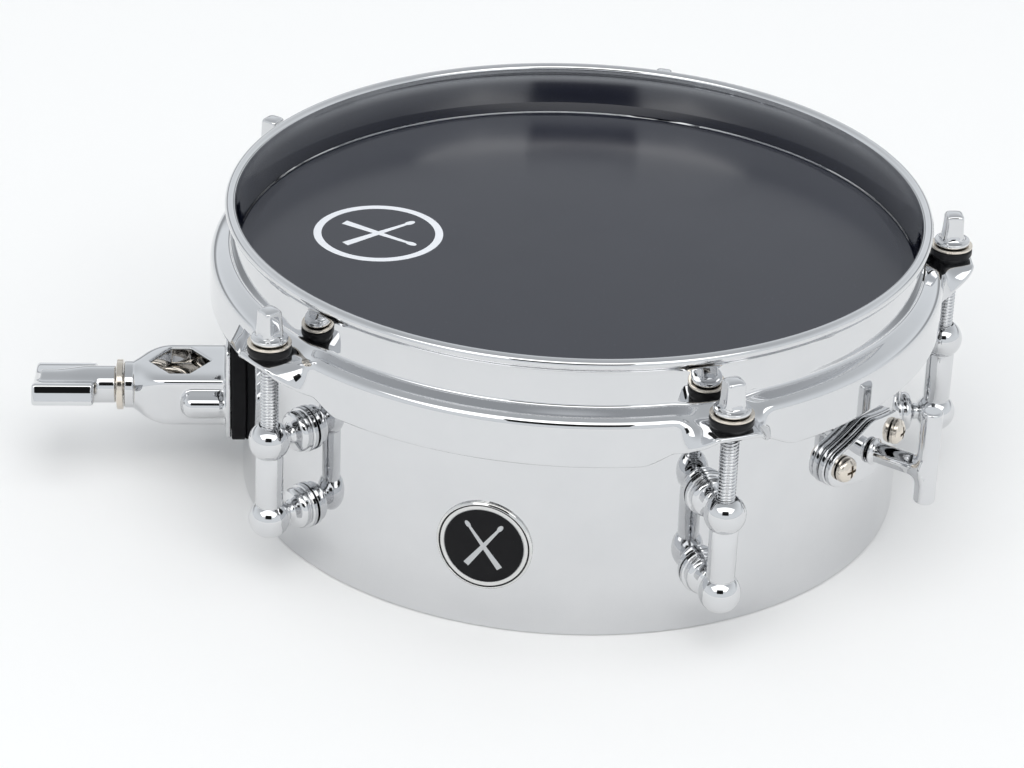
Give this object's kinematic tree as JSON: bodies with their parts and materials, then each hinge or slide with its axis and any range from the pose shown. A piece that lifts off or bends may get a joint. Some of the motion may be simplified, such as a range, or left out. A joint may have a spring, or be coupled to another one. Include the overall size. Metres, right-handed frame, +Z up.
{
  "type": "clamp-mounted side drum",
  "caption": "Shallow chrome side drum with a pressed counter hoop, tube lugs, an adjuster for the snares inside and a wing-nut clamp that grips an upright rod.",
  "frame": {"origin": "on the axis of the rod that the clamp grips, at the middle of the clamp's height", "axes": "+Z up along the rod and the drum's axis, +X from the rod to the drum's axis, +Y level across the drum"},
  "size_m": [0.2866, 0.235, 0.0918],
  "materials": {
    "chrome": "mirror-bright plating",
    "nickel": "satin nickel plating, slightly warm",
    "steel": "zinc-plated steel",
    "brass": "machined",
    "aluminium": "rolled channel, plain",
    "black_rubber": "moulded, satin",
    "black_nylon": "moulded, satin",
    "head_film": "smooth glossy film",
    "badge_enamel": "black enamel"
  },
  "bodies": {
    "drum": {"shell": "chrome", "drum_head": "head_film", "flesh_hoop": "aluminium", "lug_1": "chrome", "lug_nut_1": "brass", "lug_screw_upper_1": "steel", "lug_screw_lower_1": "steel", "lug_2": "chrome", "lug_nut_2": "brass", "lug_screw_upper_2": "steel", "lug_screw_lower_2": "steel", "lug_3": "chrome", "lug_nut_3": "brass", "lug_screw_upper_3": "steel", "lug_screw_lower_3": "steel", "lug_4": "chrome", "lug_nut_4": "brass", "lug_screw_upper_4": "steel", "lug_screw_lower_4": "steel", "lug_5": "chrome", "lug_nut_5": "brass", "lug_screw_upper_5": "steel", "lug_screw_lower_5": "steel", "clamp_casting": "chrome", "clamp_gasket": "black_rubber", "wing_washer": "nickel", "clamp_screw_1": "steel", "clamp_screw_2": "steel", "strainer_base": "chrome", "strainer_plate": "chrome", "strainer_backing": "steel", "strainer_screw_1": "nickel", "strainer_screw_2": "nickel", "snare_butt": "steel", "butt_screw_1": "nickel", "butt_screw_2": "nickel", "badge_rim": "chrome", "badge_disc": "badge_enamel"},
    "hoop": {"counter_hoop": "chrome", "rod_washer_1": "nickel", "rod_washer_2": "nickel", "rod_washer_3": "nickel", "rod_washer_4": "nickel", "rod_washer_5": "nickel", "rod_grommet_1": "black_nylon", "rod_grommet_2": "black_nylon", "rod_grommet_3": "black_nylon", "rod_grommet_4": "black_nylon", "rod_grommet_5": "black_nylon"},
    "rod_1": {"tension_rod_1": "chrome"},
    "rod_2": {"tension_rod_2": "chrome"},
    "rod_3": {"tension_rod_3": "chrome"},
    "rod_4": {"tension_rod_4": "chrome"},
    "rod_5": {"tension_rod_5": "chrome"},
    "wing": {"wing_nut": "chrome"},
    "eye": {"eye_bolt": "nickel"},
    "handle": {"t_handle": "chrome"},
    "snares": {"snare_slider": "steel", "snare_wires": "steel"}
  },
  "joints": [
    {"name": "hoop_lift", "type": "slide", "parent": "drum", "child": "hoop", "axis": [0, 0, 1], "range_m": [0, 0.005]},
    {"name": "tension_rod_1_turn", "type": "hinge", "parent": "hoop", "child": "rod_1", "pos_m": [0.2385, 0, 0.05], "axis": [0, 0, 1], "range_deg": [0, 1720]},
    {"name": "tension_rod_2_turn", "type": "hinge", "parent": "hoop", "child": "rod_2", "pos_m": [0.15924, 0.10909, 0.05], "axis": [0, 0, 1], "range_deg": [0, 1720]},
    {"name": "tension_rod_3_turn", "type": "hinge", "parent": "hoop", "child": "rod_3", "pos_m": [0.03101, 0.06742, 0.05], "axis": [0, 0, 1], "range_deg": [0, 1720]},
    {"name": "tension_rod_4_turn", "type": "hinge", "parent": "hoop", "child": "rod_4", "pos_m": [0.03101, -0.06742, 0.05], "axis": [0, 0, 1], "range_deg": [0, 1720]},
    {"name": "tension_rod_5_turn", "type": "hinge", "parent": "hoop", "child": "rod_5", "pos_m": [0.15924, -0.10909, 0.05], "axis": [0, 0, 1], "range_deg": [0, 1720]},
    {"name": "wing_nut_turn", "type": "hinge", "parent": "drum", "child": "wing", "pos_m": [-0.03, 0, 0], "axis": [-1, 0, 0], "range_deg": [0, 1440]},
    {"name": "eye_bolt_slide", "type": "slide", "parent": "drum", "child": "eye", "axis": [1, 0, 0], "range_m": [0, 0.004]},
    {"name": "t_handle_turn", "type": "hinge", "parent": "drum", "child": "handle", "pos_m": [0.21048, -0.06772, 0.0138], "axis": [0.788, -0.6157, 0], "range_deg": [0, 1351]},
    {"name": "snare_slide", "type": "slide", "parent": "drum", "child": "snares", "axis": [-0.788, 0.6157, 0], "range_m": [0, 0.003]}
  ],
  "couplings": [
    {"joint": "tension_rod_1_turn", "follows": "hoop_lift", "rad_per_m": 5938.7},
    {"joint": "tension_rod_2_turn", "follows": "hoop_lift", "rad_per_m": 5938.7},
    {"joint": "tension_rod_3_turn", "follows": "hoop_lift", "rad_per_m": 5938.7},
    {"joint": "tension_rod_4_turn", "follows": "hoop_lift", "rad_per_m": 5938.7},
    {"joint": "tension_rod_5_turn", "follows": "hoop_lift", "rad_per_m": 5938.7},
    {"joint": "eye_bolt_slide", "follows": "wing_nut_turn", "m_per_rad": 0.00015915},
    {"joint": "t_handle_turn", "follows": "snare_slide", "rad_per_m": 7854}
  ]
}
